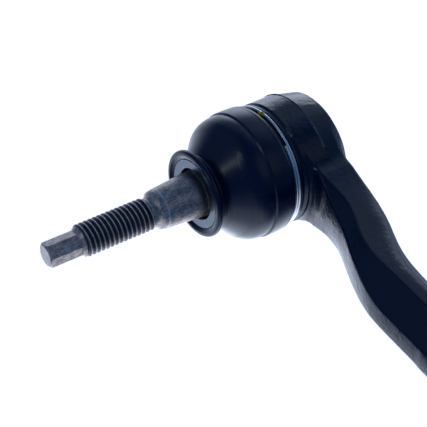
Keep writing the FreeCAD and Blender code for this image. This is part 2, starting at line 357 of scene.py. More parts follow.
def stud_steel():
    m = Mat("stud_phosphated_steel")
    streak = m.noise(1500, 3, 0.65, m.scaled(1, 1, 0.16))
    turned = m.noise(700, 2, 0.5, m.scaled(0.12, 0.12, 2.6))
    mott = m.noise(560, 4, 0.65)
    fine = m.noise(3200, 2, 0.6)
    base = m.ramp(mott, [(0.34, (0.300, 0.250, 0.225)), (0.50, (0.480, 0.405, 0.360)), (0.66, (0.820, 0.680, 0.590))])
    col = m.mix(m.span(streak, 0.0, 0.75, 0.48, 0.72), base, (0.950, 0.800, 0.700))
    col = m.mix(m.span(m.noise(1800, 2, 0.5), 0.0, 0.7, 0.56, 0.70), col, (0.060, 0.058, 0.070))
    # painted shade from the root attribute: the thread roots and the taper beside the boot neck
    col = m.mix(m.attr("root"), col, (0.030, 0.032, 0.048))
    # lighter where the wear attribute is set: rubbed hex corners plus painted highlight lines on the thread crests and
    # taper rim
    col = m.mix(m.attr("wear_and_painted_highlight"), col, (0.92, 0.86, 0.82))
    rough = m.math("ADD", m.span(mott, 0.30, 0.42), m.span(fine, -0.05, 0.05))
    m.set(Base_Color=col, Roughness=rough, Metallic=0.50)
    m.bump([(turned, 0.22, 0.00007), (streak, 0.22, 0.00006), (fine, 0.34, 0.00005)])
    return m.m


def bright_wire():
    m = Mat("ring_wire_drawn_steel")
    drawn = m.noise(1500, 3, 0.6, m.scaled(1, 1, 1))
    col = m.ramp(drawn, [(0.3, (0.90, 0.89, 0.87)), (0.7, (0.98, 0.97, 0.95))])
    m.set(Base_Color=col, Roughness=m.span(drawn, 0.30, 0.38), Metallic=0.90)
    m.bump([(drawn, 0.05, 0.00002)])
    return m.m


def dark_wire():
    m = Mat("neck_wire_oiled_steel")
    n = m.noise(1800, 3, 0.6)
    m.set(Base_Color=m.ramp(n, [(0.3, (0.16, 0.17, 0.20)), (0.7, (0.30, 0.31, 0.34))]), Roughness=m.span(n, 0.24, 0.36), Metallic=0.95)
    m.bump([(n, 0.10, 0.00003)])
    return m.m


def insert_steel():
    m = Mat("insert_pressed_steel")
    n = m.noise(420, 4, 0.6)
    f = m.noise(2600, 2, 0.6)
    col = m.ramp(n, [(0.3, (0.135, 0.160, 0.190)), (0.7, (0.175, 0.200, 0.230))])
    col = m.mix(m.math("MULTIPLY", m.edges(0.53, 0.62), 0.5), col, (0.34, 0.36, 0.40))
    m.set(Base_Color=col, Roughness=m.math("ADD", m.span(n, 0.24, 0.32), m.span(f, -0.03, 0.03)), Metallic=1.0)
    m.bump([(f, 0.15, 0.00003)])
    return m.m


def cover_steel():
    m = Mat("cover_pressed_steel")
    n = m.noise(260, 4, 0.6)
    f = m.noise(1900, 3, 0.6)
    col = m.ramp(n, [(0.3, (0.020, 0.024, 0.034)), (0.7, (0.040, 0.045, 0.058))])
    col = m.mix(m.math("MULTIPLY", m.edges(0.53, 0.62), 0.5), col, (0.16, 0.17, 0.19))
    m.set(Base_Color=col, Roughness=m.math("ADD", m.span(n, 0.28, 0.40), m.span(f, -0.04, 0.05)), Metallic=0.35)
    m.bump([(n, 0.12, 0.00010), (f, 0.16, 0.00004)])
    return m.m


def spring_steel():
    m = Mat("spring_blued_steel")
    n = m.noise(350, 4, 0.6)
    m.set(Base_Color=m.ramp(n, [(0.3, (0.10, 0.11, 0.16)), (0.7, (0.20, 0.20, 0.24))]), Roughness=m.span(n, 0.26, 0.38), Metallic=1.0)
    m.bump([(m.noise(1900, 3, 0.6), 0.15, 0.00003)])
    return m.m


def bearing_plastic():
    m = Mat("bearing_acetal")
    n = m.noise(240, 4, 0.6)
    f = m.noise(1500, 3, 0.6)
    m.set(Base_Color=m.ramp(n, [(0.3, (0.70, 0.66, 0.56)), (0.7, (0.80, 0.78, 0.70))]), Roughness=m.span(f, 0.38, 0.50))
    m.b.inputs["Subsurface Weight"].default_value = 0.05
    m.bump([(f, 0.12, 0.00004)])
    return m.m


def paint():
    m = Mat("paint_mark_yellow")
    n = m.noise(700, 4, 0.65)
    col = m.ramp(n, [(0.28, (0.30, 0.16, 0.012)), (0.42, (0.62, 0.46, 0.015)), (0.70, (0.85, 0.68, 0.030))])
    m.set(Base_Color=col, Roughness=m.span(n, 0.38, 0.55))
    m.bump([(m.noise(1600, 3, 0.6), 0.3, 0.00005)])
    return m.m


def thread_steel():
    m = Mat("bore_thread_oiled_steel")
    n = m.noise(600, 4, 0.6)
    m.set(Base_Color=m.ramp(n, [(0.3, (0.06, 0.065, 0.08)), (0.7, (0.13, 0.135, 0.15))]), Roughness=m.span(n, 0.25, 0.38), Metallic=0.85)
    m.bump([(m.noise(2300, 3, 0.6), 0.15, 0.00003)])
    return m.m


MATS = {
    "coated_forging": coated_forging(),
    "boot_rubber": boot_rubber(),
    "stud_steel": stud_steel(),
    "ring_wire": bright_wire(),
    "neck_wire": dark_wire(),
    "insert_steel": insert_steel(),
    "cover_steel": cover_steel(),
    "spring_steel": spring_steel(),
    "bearing_plastic": bearing_plastic(),
    "paint": paint(),
    "thread": thread_steel(),
}


def dress(ob, *mats):
    ob.data.materials.clear()
    for k in mats:
        ob.data.materials.append(MATS[k])
    return ob


def place(ob, body, node, slot, *mats):
    dress(ob, *mats)
    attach(ob, body)
    if node:
        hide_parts(node)
    return ob


# ---------------------------------------------------------------- the forging: skin as a distance field, then machining
ARM_GROW = 0.3
STATIONS = np.array([
    (6, 17.4, -2.2, -15.4, 18, -2.9), (13, 15.2, -1.9, -15.4, 15.8, -2.4), (20, 12.4, -1.45, -15.5, 13, -1.95),
    (25, 10.8, -.75, -15.5, 11.9, -2.1), (30, 8.9, .12, -15.6, 10.6, -2.75), (35, 7.15, 1.1, -15.7, 9.6, -3.2),
    (40, 5.9, 2.4, -15.35, 8.95, -2.65), (45, 5.05, 4, -14.4, 8.65, -.85), (50, 4.5, 5.95, -12.95, 8.65, 1.4),
    (55, 4.2, 8.1, -11, 8.9, 3.3), (60, 4.05, 10.2, -9.1, 9.4, 4.85), (65, 3.9, 12.05, -7.75, 10, 5.75),
    (70, 3.75, 13.5, -7, 10.6, 6.2), (75, 3.6, 14.4, -6.65, 11, 6.45), (80, 3.5, 14.75, -6.5, 11.1, 6.65),
    (90, 3.5, 14.85, -6.4, 11.15, 6.85), (100, 3.6, 14.9, -6.4, 11.2, 6.95), (110, 3.9, 14.9, -6.4, 11, 7.6),
    (118, 4.3, 14.7, -6.2, 10.5, 8.5)], float)


def smooth_table(x, y, xq):
    """Monotone cubic through the stations."""
    h = np.diff(x)
    d = np.diff(y) / h
    m = np.zeros(len(x))
    m[1:-1] = np.where(d[:-1] * d[1:] > 0, 2 * d[:-1] * d[1:] / (d[:-1] + d[1:] + 1e-12), 0)
    m[0], m[-1] = d[0], d[-1]
    i = np.clip(np.searchsorted(x, xq) - 1, 0, len(x) - 2)
    t = np.clip((xq - x[i]) / h[i], 0, 1)
    t2, t3 = t * t, t * t * t
    return (2 * t3 - 3 * t2 + 1) * y[i] + (t3 - 2 * t2 + t) * h[i] * m[i] + (-2 * t3 + 3 * t2) * y[i + 1] + (t3 - t2) * h[i] * m[i + 1]


XS = np.linspace(0, 125, 2501)
grow = np.clip((XS - 20) / 5, 0, 1) * ARM_GROW
T_A = smooth_table(STATIONS[:, 0], STATIONS[:, 1], XS) + 0.4 * grow
T_T = smooth_table(STATIONS[:, 0], STATIONS[:, 2], XS) + grow
T_L = smooth_table(STATIONS[:, 0], STATIONS[:, 3], XS) - grow
T_B = smooth_table(STATIONS[:, 0], STATIONS[:, 4], XS) + grow
T_C = smooth_table(STATIONS[:, 0], STATIONS[:, 5], XS)


def smax(a, b, k):
    h = np.maximum(k - np.abs(a - b), 0) / k
    return np.maximum(a, b) + h * h * k * 0.25


def smin(a, b, k):
    h = np.maximum(k - np.abs(a - b), 0) / k
    return np.minimum(a, b) - h * h * k * 0.25


def polygon_sdf(pts, X, Y):
    """Exact signed distance to a simple polygon, negative inside."""
    P = np.array(pts, float)
    d = np.full(X.shape, 1e9)
    s = np.ones(X.shape)
    n = len(P)
    for i in range(n):
        (x0, y0), (x1, y1) = P[i], P[(i + 1) % n]
        ex, ey = x1 - x0, y1 - y0
        wx, wy = X - x0, Y - y0
        t = np.clip((wx * ex + wy * ey) / (ex * ex + ey * ey), 0, 1)
        d = np.minimum(d, (wx - ex * t) ** 2 + (wy - ey * t) ** 2)
        c1, c2, c3 = Y >= y0, Y < y1, ex * wy > ey * wx
        flip = (c1 & c2 & c3) | (~c1 & ~c2 & ~c3)
        s = np.where(flip, -s, s)
    return s * np.sqrt(d)


class Table2:
    """A 2-D distance table read between its points."""

    def __init__(self, pts, x0, x1, y0, y1, h):
        self.x0, self.y0, self.h = x0, y0, h
        gx = np.arange(x0, x1 + h, h)
        gy = np.arange(y0, y1 + h, h)
        X, Y = np.meshgrid(gx, gy, indexing="ij")
        self.t = polygon_sdf(pts, X, Y)

    def __call__(self, x, y):
        u = np.clip((x - self.x0) / self.h, 0, self.t.shape[0] - 1.001)
        v = np.clip((y - self.y0) / self.h, 0, self.t.shape[1] - 1.001)
        i, j = u.astype(int), v.astype(int)
        fu, fv = u - i, v - j
        t = self.t
        return (t[i, j] * (1 - fu) + t[i + 1, j] * fu) * (1 - fv) + (t[i, j + 1] * (1 - fu) + t[i + 1, j + 1] * fu) * fv


cup, _ = trace([(-30, -18.3), (19.3, -18.3), ("a", (20.28, -17.88), (20.65, -16.9)), (22.45, -8.9), (22.5, -8.6), (22.35, -2), (22.35, 9.5), (-30, 9.5)])
CUP = Table2(cup, 0, 60, -40, 40, 0.25)
boss, _ = trace([(100, -20), (100, 9.0), (108, 9.3), (111.5, 9.9), (116, 11.5), (146.8, 11.5), ("a", (148.9, 11.25), (150, 10.3)), (150, -20)])
BOSS = Table2(boss, 90, 160, 0, 50, 0.25)


def forge(x, y, z):
    """Distance to the forged skin."""
    r = np.hypot(x, y)
    d_cup = CUP(r, z)
    i = np.clip(x / 125 * 2500, 0, 2499.0)
    k = i.astype(int)
    f = i - k

    def at(T):
        return T[k] * (1 - f) + T[k + 1] * f

    a, zt, zb, B, zc = at(T_A), at(T_T), at(T_L), at(T_B), at(T_C)
    ay = np.abs(y)
    crown = 0.55 * np.clip((58 - x) / 14, 0.35, 1)
    top, bot, side = z - zt + crown * np.minimum(ay / a, 1.4) ** 2, zb - z, ay - B
    # the bevels: through (a, zt)-(B, zc) and (B, zt+zb-zc)-(a, zb)
    ux, uz = (zt - zc), (B - a)
    ul = np.hypot(ux, uz)
    up = ((ay - a) * ux + (z - zt) * uz) / ul
    # the lower bevel mirrors the upper one about the middle height
    zm = 0.5 * (zt + zb)
    lo = ((ay - a) * ux + ((2 * zm - z) - zt) * uz) / ul
    d_arm = smax(smax(top, up, 0.45), side, 0.30)
    d_arm = smax(d_arm, smax(bot, lo - 0.25, 2.1), 1.9)
    d_arm = np.maximum(d_arm, 4 - x)
    d_arm = np.maximum(d_arm, x - 124)
    rho = np.hypot(y, z - 4.25)
    d_boss = BOSS(x, rho)
    d = smin(d_cup, d_arm, 4.6)
    return smin(d, d_boss, 4.0)


def surface_nets(fun, lo, hi, h):
    gx = np.arange(lo[0], hi[0] + h, h)
    gy = np.arange(lo[1], hi[1] + h, h)
    gz = np.arange(lo[2], hi[2] + h, h)
    D = np.empty((len(gx), len(gy), len(gz)), np.float32)
    Y, Z = np.meshgrid(gy, gz, indexing="ij")
    for i0 in range(0, len(gx), 16):
        xs = gx[i0:i0 + 16]
        X = np.broadcast_to(xs[:, None, None], (len(xs), *Y.shape))
        YY = np.broadcast_to(Y, X.shape)
        ZZ = np.broadcast_to(Z, X.shape)
        D[i0:i0 + 16] = fun(X, YY, ZZ)
    ins = D < 0
    c = np.zeros(tuple(s - 1 for s in D.shape), np.int8)
    for a in (0, 1):
        for b in (0, 1):
            for d in (0, 1):
                c += ins[a:D.shape[0] - 1 + a, b:D.shape[1] - 1 + b, d:D.shape[2] - 1 + d]
    act = (c > 0) & (c < 8)
    idx = np.full(act.shape, -1, np.int64)
    cells = np.argwhere(act)
    idx[act] = np.arange(len(cells))
    acc = np.zeros((len(cells), 3))
    cnt = np.zeros(len(cells))
    I, J, K = cells.T
    corners = [(a, b, d) for a in (0, 1) for b in (0, 1) for d in (0, 1)]
    for p in corners:
        for ax in range(3):
            if p[ax] == 0:
                q = list(p)
                q[ax] = 1
                fa = D[I + p[0], J + p[1], K + p[2]]
                fb = D[I + q[0], J + q[1], K + q[2]]
                cr = (fa < 0) != (fb < 0)
                t = np.where(cr, fa / np.where(fa == fb, 1, fa - fb), 0)
                pt = np.array(p, float)[None, :].repeat(len(cells), 0)
                pt[:, ax] += t
                acc[cr] += pt[cr]
                cnt += cr
    V = np.array([gx[0], gy[0], gz[0]]) + h * (cells + acc / cnt[:, None])
    F = []
    for ax in range(3):
        o1, o2 = (ax + 1) % 3, (ax + 2) % 3
        A = np.take(ins, range(0, ins.shape[ax] - 1), ax)
        B = np.take(ins, range(1, ins.shape[ax]), ax)
        for flag, cond in ((0, A & ~B), (1, ~A & B)):
            e = np.argwhere(cond)
            ok = (e[:, o1] > 0) & (e[:, o2] > 0) & (e[:, o1] < act.shape[o1]) & (e[:, o2] < act.shape[o2])
            e = e[ok]
            quad = []
            for d1, d2 in ((-1, -1), (0, -1), (0, 0), (-1, 0)):
                q = e.copy()
                q[:, o1] += d1
                q[:, o2] += d2
                quad.append(idx[q[:, 0], q[:, 1], q[:, 2]])
            quad = np.array(quad).T
            F.append(quad if flag == 0 else quad[:, ::-1])
    F = np.concatenate(F)
    return V, F


def project(V, fun, times=3, cap=0.25):
    e = 0.02
    for _ in range(times):
        f = fun(*V.T)
        g = np.stack([fun(V[:, 0] + e, V[:, 1], V[:, 2]) - fun(V[:, 0] - e, V[:, 1], V[:, 2]),
                      fun(V[:, 0], V[:, 1] + e, V[:, 2]) - fun(V[:, 0], V[:, 1] - e, V[:, 2]),
                      fun(V[:, 0], V[:, 1], V[:, 2] + e) - fun(V[:, 0], V[:, 1], V[:, 2] - e)], 1) / (2 * e)
        gg = np.maximum((g * g).sum(1), 0.25)
        V = V - np.clip(f / gg, -cap, cap)[:, None] * g
    n = g / np.sqrt(gg)[:, None]
    return V, n


def value_noise(P, seed):
    """Smooth value noise on a unit lattice, about -1 to 1."""
    rng = np.random.RandomState(seed)
    T = rng.uniform(-1, 1, (64, 64, 64)).astype(np.float32)
    i = np.floor(P).astype(int)
    f = P - i
    f = f * f * (3 - 2 * f)
    i &= 63
    j = (i + 1) & 63
    out = 0
    for a in (0, 1):
        for b in (0, 1):
            for c in (0, 1):
                w = (f[:, 0] if a else 1 - f[:, 0]) * (f[:, 1] if b else 1 - f[:, 1]) * (f[:, 2] if c else 1 - f[:, 2])
                out = out + w * T[(j if a else i)[:, 0], (j if b else i)[:, 1], (j if c else i)[:, 2]]
    return out


def apply_boolean(ob, cutter, op):
    md = ob.modifiers.new("b", "BOOLEAN")
    md.object = cutter
    md.operation = op
    md.solver = SOLVER
    dg = bpy.context.evaluated_depsgraph_get()
    me = bpy.data.meshes.new_from_object(ob.evaluated_get(dg))
    ob.modifiers.clear()
    old = ob.data
    ob.data = me
    bpy.data.meshes.remove(old)
    cm = cutter.data
    bpy.data.objects.remove(cutter)
    bpy.data.meshes.remove(cm)


SOLVER = "MANIFOLD"
STEP = 0.42
V, F = surface_nets(forge, (-24.5, -24.5, -20), (152, 24.5, 17.5), STEP)
V, N = project(V, forge)
# forged skin: long soft waves and shallow scale marks, none where the part is turned or drilled
wave = 0.040 * value_noise(V / 7.5 + 3.1, 11) + 0.018 * value_noise(V / 2.9 + 7.7, 12) + 0.014 * value_noise(V / 1.05 + 1.3, 13)
pits = np.clip(value_noise(V / 1.3 + 5.5, 14) - 0.50, 0, 1) * -0.10
keep = np.clip((V[:, 2] - 0.2) / 0.6, 0, 1) * (np.hypot(V[:, 0], V[:, 1]) < 25)
keep = np.maximum(keep, np.clip((V[:, 0] - 148) / 1.0, 0, 1))
V = V + N * ((wave + pits) * (1 - keep))[:, None]
V[:, 0] = np.minimum(V[:, 0], 150.0)
V[:, 2] = np.maximum(V[:, 2], -18.3)
forging = outward(make_object("forged_housing_and_arm", V, F))

# flash left along the forging's parting line, a thin uneven fin round the cup
n = 300
ang = np.arange(n) * 2 * math.pi / n
cir = np.stack([np.cos(ang) * 9, np.sin(ang) * 9, ang * 0], 1)
fin = 0.05 * value_noise(cir * 0.9 + 20, 21) + 0.03 * value_noise(cir * 2.7 + 20, 22)
drop = 0.06 * value_noise(cir * 0.5 + 40, 23)


def fin_warp(r, z, a):
    return (fin if r > 22.5 else 0 * a)


flash = revolve("flash_tool", [(21.2, -9.25), (22.35, -9.05), (22.72, -8.86), (22.74, -8.62), (22.35, -8.38), (21.2, -8.2)], n, True, fin_warp)
apply_boolean(forging, flash, "UNION")

# turned boot seat and face
p, f_ = trace([(22.35, 0.6), (21.6, 1.6), (19.7, 1.6), (19.7, 6.0), (20.4, 6.4), (20.4, 7.6), (19.5, 8.5), (0, 8.5), (0, 12), (27, 12), (27, 0.6)])
tool = revolve("seat_tool", p, 256, False) if False else None
seat = densify([(0, 8.5), (19.5, 8.5), (20.4, 7.6), (20.4, 6.4), (19.7, 6.0), (19.7, 1.6), (21.6, 1.6), (22.36, 0.6), (26.4, 0.6), (26.4, 12), (0, 12)], False, 0.1, 2.0)
tool = revolve("seat_tool", seat, 256, False)
apply_boolean(forging, tool, "DIFFERENCE")

# the ball's pocket, open at the top and crimped over the cover plate at the bottom
cav = densify([(0, 10.5), (15.7, 10.5), (15.14, 9.5), (12.95, 5.45), (13.95, 5.45), (16.6, 1.6), (16.6, -14.8), (18.0, -14.8), (18.0, -16.8), (16.9, -16.8), (16.55, -17.3), (16.35, -19.5), (0, -19.5)], False, 0.1, 2.0)
tool = revolve("pocket_tool", cav, 192, False)
apply_boolean(forging, tool, "DIFFERENCE")

# wrench flats on the boss
for sgn in (1, -1):
    me = bpy.data.meshes.new("flat_tool")
    bm = bmesh.new()
    bmesh.ops.create_cube(bm, size=1.0)
    bmesh.ops.scale(bm, vec=(14 * MM, 6 * MM, 30 * MM), verts=bm.verts)
    bmesh.ops.translate(bm, vec=(140 * MM, sgn * 13 * MM, 4.25 * MM), verts=bm.verts)
    bmesh.ops.bevel(bm, geom=[e for e in bm.edges if abs((e.verts[0].co - e.verts[1].co).z) > 0.01], offset=1.2 * MM, segments=5, profile=0.5, affect="EDGES")
    bm.to_mesh(me)
    bm.free()
    tool = bpy.data.objects.new("flat_tool", me)
    scene.collection.objects.link(tool)
    apply_boolean(forging, tool, "DIFFERENCE")


def screw_radius(phase, crest, root, pitch, crest_flat, root_flat):
    """Height of a 60 degree thread at a phase of 0 to 1, crest in the middle."""
    p = np.abs((phase % 1.0) - 0.5) * 2          # 0 at the crest, 1 at the root
    t = np.clip((p - crest_flat) / (1 - crest_flat - root_flat), 0, 1)
    t = t + 0.10 * np.sin(2 * np.pi * t) / (2 * np.pi) * -1
    return crest + (root - crest) * t


# the tapped bore, M14 x 1.5
n = 72
ang = np.arange(n) * 2 * math.pi / n
xs = np.concatenate([np.arange(103.9, 149.6, 0.125), [149.7, 149.85, 150.0, 150.6]])
rings = [[(100.6, 0.0)], ]
Vb = [(100.6, 0.0, 4.25)]
Fb = []
prev = None
for x in xs:
    fade = np.clip((x - 104.4) / 2.0, 0, 1)
    r = screw_radius(x / 1.5 - ang / (2 * math.pi), 6.188, 6.188 + 0.80 * fade, 1.5, 0.20, 0.16)
    sink = 6.1 + (x - 148.75) * 1.0
    r = np.maximum(r, sink) if x > 148.4 else r
    if x < 104.0:
        r = np.full(n, 6.188)
    s = len(Vb)
    Vb += [(x, rr * math.cos(a), 4.25 + rr * math.sin(a)) for rr, a in zip(r, ang)]
    cur = list(range(s, s + n))
    for j in range(n):
        k = (j + 1) % n
        Fb.append((0, cur[k], cur[j]) if prev is None else (prev[j], prev[k], cur[k], cur[j]))
    prev = cur
Vb.append((150.6, 0.0, 4.25))
for j in range(n):
    Fb.append((len(Vb) - 1, prev[j], prev[(j + 1) % n]))
tool = outward(make_object("tap_tool", Vb, Fb))
apply_boolean(forging, tool, "DIFFERENCE")
sharpen(forging, 32)
dress(forging, "coated_forging", "thread")
cen = np.zeros(len(forging.data.polygons) * 3)
forging.data.polygons.foreach_get("center", cen)
cen = cen.reshape(-1, 3) / MM
bore = (cen[:, 0] > 99) & (np.hypot(cen[:, 1], cen[:, 2] - 4.25) < 7.15) & (cen[:, 0] < 149.4)
forging.data.polygons.foreach_set("material_index", bore.astype(np.int32))
vc = np.zeros(len(forging.data.vertices) * 3, np.float32)
forging.data.vertices.foreach_get("co", vc)
vc = vc.reshape(-1, 3) / MM
vr = np.hypot(vc[:, 0], vc[:, 1])
# the flash fin's outer edge is painted lighter: partly coat rubbed off the fin, partly a painted highlight along the
# parting line
flash_edge_wear_and_highlight = np.clip((vr - 22.50) / 0.12, 0, 1) * (np.abs(vc[:, 2] + 8.74) < 0.35) * (vr < 23.2) * (0.35 + 0.65 * np.clip(value_noise(vc / 2.3 + 6, 41) + 0.6, 0, 1))
at_ = forging.data.attributes.new("wear_and_painted_highlight", "FLOAT", "POINT")
at_.data.foreach_set("value", (0.75 * flash_edge_wear_and_highlight).astype(np.float32))
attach(forging, "housing")
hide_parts("housing")


# ---------------------------------------------------------------- the ball stud
BLANK = 5.38
zr = []
prof, fl = trace([(0, -12.4), (5.34, -12.4)] + [(13.5 * math.cos(math.radians(a)), 13.5 * math.sin(math.radians(a))) for a in np.arange(-66.0, 52, 2.5)])
ball = [(0, -12.4), (5.0, -12.4)]
ball += [(13.5 * math.cos(math.radians(a)), 13.5 * math.sin(math.radians(a))) for a in np.arange(-66.7, 54.6, 2.2)]
zt = 13.5 * math.sin(math.radians(56.25))
ball += [(7.75, 11.05), (7.55, 11.7), (7.5, 12.4), (7.5, 16.0)]
ball += arc3((7.5, 16.0), (8.0, 20.0), (9.15, 22.9), 8)
ball += [(9.34, 23.6), (9.39, 24.3), (9.39, 28.0), (9.35, 28.6), (9.24, 29.0), (9.05, 29.22), (8.70, 29.4)]
body = densify(ball, False, 0.1, 0.8)
rows = [(r, z, "c") for r, z in body]
for z in np.arange(29.8, 47.9, 0.45):
    rows.append((8.70 + (7.29 - 8.70) * (z - 29.4) / (48.2 - 29.4), z, "c"))
for r, z in [(7.305, 48.0), (7.27, 48.2), (7.20, 48.42), (7.14, 48.8), (7.09, 49.2), (7.02, 49.6), (6.90, 49.87), (6.72, 50.05), (6.45, 50.22), (6.2, 50.42), (5.98, 50.66), (5.78, 50.95), (5.60, 51.28), (5.46, 51.6), (5.38, 51.95), (5.36, 52.3)]:
    rows.append((r, z, "c"))
for z in np.arange(52.45, 79.55, 0.0875):
    rows.append((BLANK, z, "t"))
for r, z in [(5.14, 79.62), (4.93, 79.85), (4.72, 80.10), (4.55, 80.32), (4.42, 80.45)]:
    rows.append((r, z, "c"))
for z in [80.52, 80.62, 80.85, 81.3] + list(np.arange(82.0, 91.0, 0.6)) + [91.2, 91.45, 91.6, 91.7, 91.8, 91.9, 92.0, 92.08, 92.15, 92.2, 92.24, 92.27, 92.29]:
    rows.append((0, z, "h"))
rows.append((3.1, 92.3, "e"))
rows.append((1.5, 92.3, "e"))
rows.append((0, 92.3, "e"))

TURN = math.radians(-7.7)      # a flat's outward direction
half = [0.0, 0.8, 1.6, 2.6, 4.2, 7, 10, 13.5, 17, 21, 25.5]
offs = sorted([30 + s * v for v in half for s in ((1, -1) if v else (1,))] + [0])
cols = TURN + np.radians(np.concatenate([np.array(offs) + 60 * k for k in range(6)]))
phi = (cols - TURN) % (math.pi / 3)          # 0 on a flat's middle, 30 degrees on a corner
dc = np.minimum(phi, math.pi / 3 - phi)      # from the flat's middle
rho_c, ap = 0.30, 4.0
dcen = (ap - rho_c) / math.cos(math.pi / 6)
dl = math.pi / 6 - dc                        # from the corner
hexr = ap / np.cos(dc)
arc_r = dcen * np.cos(dl) + np.sqrt(np.maximum(rho_c**2 - (dcen * np.sin(dl)) ** 2, 0))
tang = math.atan2(0.5 * rho_c, dcen + 0.866 * rho_c)
hexr = np.where(dl < tang, arc_r, hexr)

Vs, Fs, prev = [], [], None
nc = len(cols)
for r, z, kind in rows:
    if kind in "ce":
        rr = np.full(nc, r)
    elif kind == "t":
        ph = z / 1.75 - cols / (2 * math.pi)
        fade = np.clip((z - 52.5) / 0.9, 0, 1) * np.clip((79.55 - z) / 0.7, 0, 1)
        fade_root = np.clip((z - 52.9) / 1.6, 0, 1) * np.clip((79.2 - z) / 1.4, 0, 1)
        crest, root = 5.95, 4.93
        h = screw_radius(ph, 0.0, -1.0, 1.75, 0.13, 0.18)
        h = crest + h * (crest - root)
        up = BLANK + (h - BLANK) * np.where(h > BLANK, fade, fade_root)
        env_lo = 5.36 + (z - 52.6) * 1.1
        env_hi = 5.95 - (z - 78.6) * 0.8
        rr = np.minimum(up, np.minimum(max(env_lo, 5.36), env_hi))
    else:
        env = 5.15 - (z - 91.15) * 1.15
        rr = np.minimum(hexr, env)
        if z > 91.5:   # the turned chamfer rolls softly into the flats
            k = 0.12
            h_ = np.maximum(k - np.abs(hexr - env), 0) / k
            rr = rr - h_ * h_ * k * 0.25
        if z < 81.2:
            low = 4.42 + (z - 80.45) * 0.55
            rr = np.minimum(hexr, np.maximum(low, 4.0 / np.cos(0)))
            rr = np.minimum(rr, np.maximum(low, 4.0))
        if z > 92.0:
            rr = rr - ((z - 92.0) / 0.3) ** 2 * 0.18
    if kind == "e" and r == 0:
        Vs.append((0, 0, z))
        for j in range(nc):
            Fs.append((prev[j], prev[(j + 1) % nc], len(Vs) - 1))
        continue
    if prev is None and r == 0:
        Vs.append((0, 0, z))
        prev = [0]
        continue
    s = len(Vs)
    Vs += list(zip(rr * np.cos(cols), rr * np.sin(cols), np.full(nc, z)))
    cur = list(range(s, s + nc))
    for j in range(nc):
        k = (j + 1) % nc
        Fs.append((prev[0], cur[k], cur[j]) if len(prev) == 1 else (prev[j], prev[k], cur[k], cur[j]))
    prev = cur
Vs = np.array(Vs)
# handling dents and a faint unevenness of the rolled and turned skin
rad = np.hypot(Vs[:, 0], Vs[:, 1])
dirn = np.stack([Vs[:, 0], Vs[:, 1], 0 * rad], 1) / np.maximum(rad, 1e-6)[:, None]
uneven = 0.016 * value_noise(Vs * np.array([1, 1, 0.35]) / 1.4 + 9, 31) + 0.010 * value_noise(Vs / 0.6 + 4, 32)
uneven *= (Vs[:, 2] > 20) * np.clip(rad / 3, 0, 1)
Vs = Vs + dirn * uneven[:, None]
stud = outward(make_object("ball_stud_threaded", Vs, Fs))
sharpen(stud, 38)
zz = Vs[:, 2]
patch = 0.62 + 0.38 * np.clip(value_noise(Vs / 1.1 + 2, 33) + 0.5, 0, 1)
on_thread = (zz > 53.0) & (zz < 79.3)
# painted highlight: light lines along the thread crests
wear_and_painted_highlight = np.where(on_thread, np.clip((rad - 5.85) / 0.08, 0, 1) * 0.90, 0)
# painted shade: darker in the thread roots and in a band of the taper next to the boot neck, where shadow falls
root_painted_shade = np.where(on_thread, np.clip((5.86 - rad) / 0.16, 0, 1) * 0.86, 0)
root_painted_shade = np.maximum(root_painted_shade, np.where((zz > 33.0) & (zz < 36.6), np.clip((36.4 - zz) / 1.8, 0, 1) * 0.85, 0))
pa = (np.arctan2(Vs[:, 1], Vs[:, 0]) - TURN) % (math.pi / 3)
corner = np.degrees(np.abs(np.minimum(pa, math.pi / 3 - pa) - math.pi / 6))
# rubbed hex corners (wear), a lighter line round the chamfer, a lighter end face, and a painted highlight ring at the
# taper's small end
wear_and_painted_highlight = np.maximum(wear_and_painted_highlight, np.where((zz > 80.9) & (rad > 3.9), np.clip(1 - corner / 2.4, 0, 1) * 0.40, 0))
wear_and_painted_highlight = np.maximum(wear_and_painted_highlight, np.where((zz > 91.45) & (rad > 3.2), np.clip(1 - np.abs(zz - 91.95) / 0.40, 0, 1) * 0.45, 0))
wear_and_painted_highlight = np.maximum(wear_and_painted_highlight, np.where(zz > 92.2, 0.26, 0))
wear_and_painted_highlight = np.maximum(wear_and_painted_highlight, np.clip(1.4 - np.abs(zz - 48.05) / 0.32, 0, 1) * 1.0 * (rad > 6.9) * (np.abs(zz - 48.05) < 0.6))
for nm, val in (("wear_and_painted_highlight", wear_and_painted_highlight * patch), ("root", root_painted_shade)):
    at_ = stud.data.attributes.new(nm, "FLOAT", "POINT")
    at_.data.foreach_set("value", val.astype(np.float32))
place(stud, "stud", "ball_stud", "stud_steel", "stud_steel")


